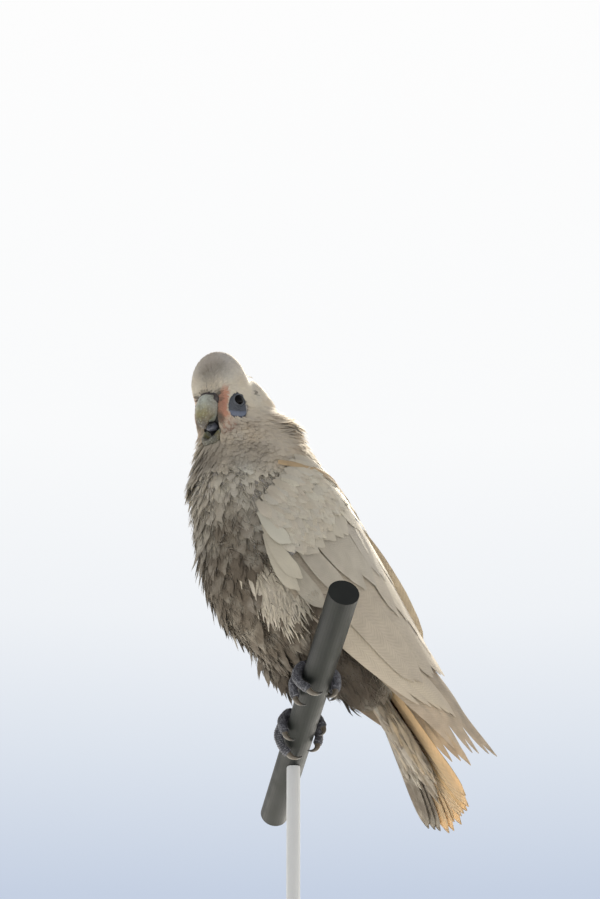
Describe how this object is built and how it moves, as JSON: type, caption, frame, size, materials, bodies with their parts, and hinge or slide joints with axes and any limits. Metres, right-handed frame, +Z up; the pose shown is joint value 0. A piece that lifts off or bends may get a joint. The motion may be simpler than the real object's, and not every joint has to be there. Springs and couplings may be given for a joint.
{
  "type": "perched little corella on a stand",
  "caption": "Life-size still model of a small white cockatoo with its head turned to the left, gripping a cut length of dark cable held up by a plain round stand.",
  "frame": {"origin": "middle of the underside of the stand's base", "axes": "+Z up; the bird's body faces -Y; +X is the bird's left side"},
  "size_m": [0.2212, 0.2281, 0.4567],
  "materials": {
    "plumage": "soft matt feather",
    "wing_feather": "smooth satin feather",
    "tail_feather": "smooth satin feather",
    "bill_horn": "dull horn",
    "grey_skin": "matt bare skin",
    "foot_skin": "granular scales",
    "claw_horn": "smooth horn",
    "eye": "wet gloss",
    "cable": "weathered sheath",
    "stand": "satin paint"
  },
  "bodies": {
    "root": {"bill_lower": "bill_horn", "bill_upper": "bill_horn", "cere": "grey_skin", "claw_1_left": "claw_horn", "claw_1_right": "claw_horn", "claw_2_left": "claw_horn", "claw_2_right": "claw_horn", "claw_3_left": "claw_horn", "claw_3_right": "claw_horn", "claw_4_left": "claw_horn", "claw_4_right": "claw_horn", "crest": "plumage", "eye_left": "eye", "eye_right": "eye", "eye_skin_left": "grey_skin", "eye_skin_right": "grey_skin", "foot_left": "foot_skin", "foot_right": "foot_skin", "head": "plumage", "neck": "plumage", "perch_cable": "cable", "stand_base": "stand", "stand_rod": "stand", "tail": "tail_feather", "tarsus_left": "foot_skin", "tarsus_right": "foot_skin", "thigh_left": "plumage", "thigh_right": "plumage", "toe_1_left": "foot_skin", "toe_1_right": "foot_skin", "toe_2_left": "foot_skin", "toe_2_right": "foot_skin", "toe_3_left": "foot_skin", "toe_3_right": "foot_skin", "toe_4_left": "foot_skin", "toe_4_right": "foot_skin", "tongue": "grey_skin", "trunk": "plumage", "undertail": "plumage", "wing_left_coverts": "wing_feather", "wing_left_flight": "wing_feather", "wing_right_coverts": "wing_feather", "wing_right_flight": "wing_feather"}
  },
  "joints": []
}
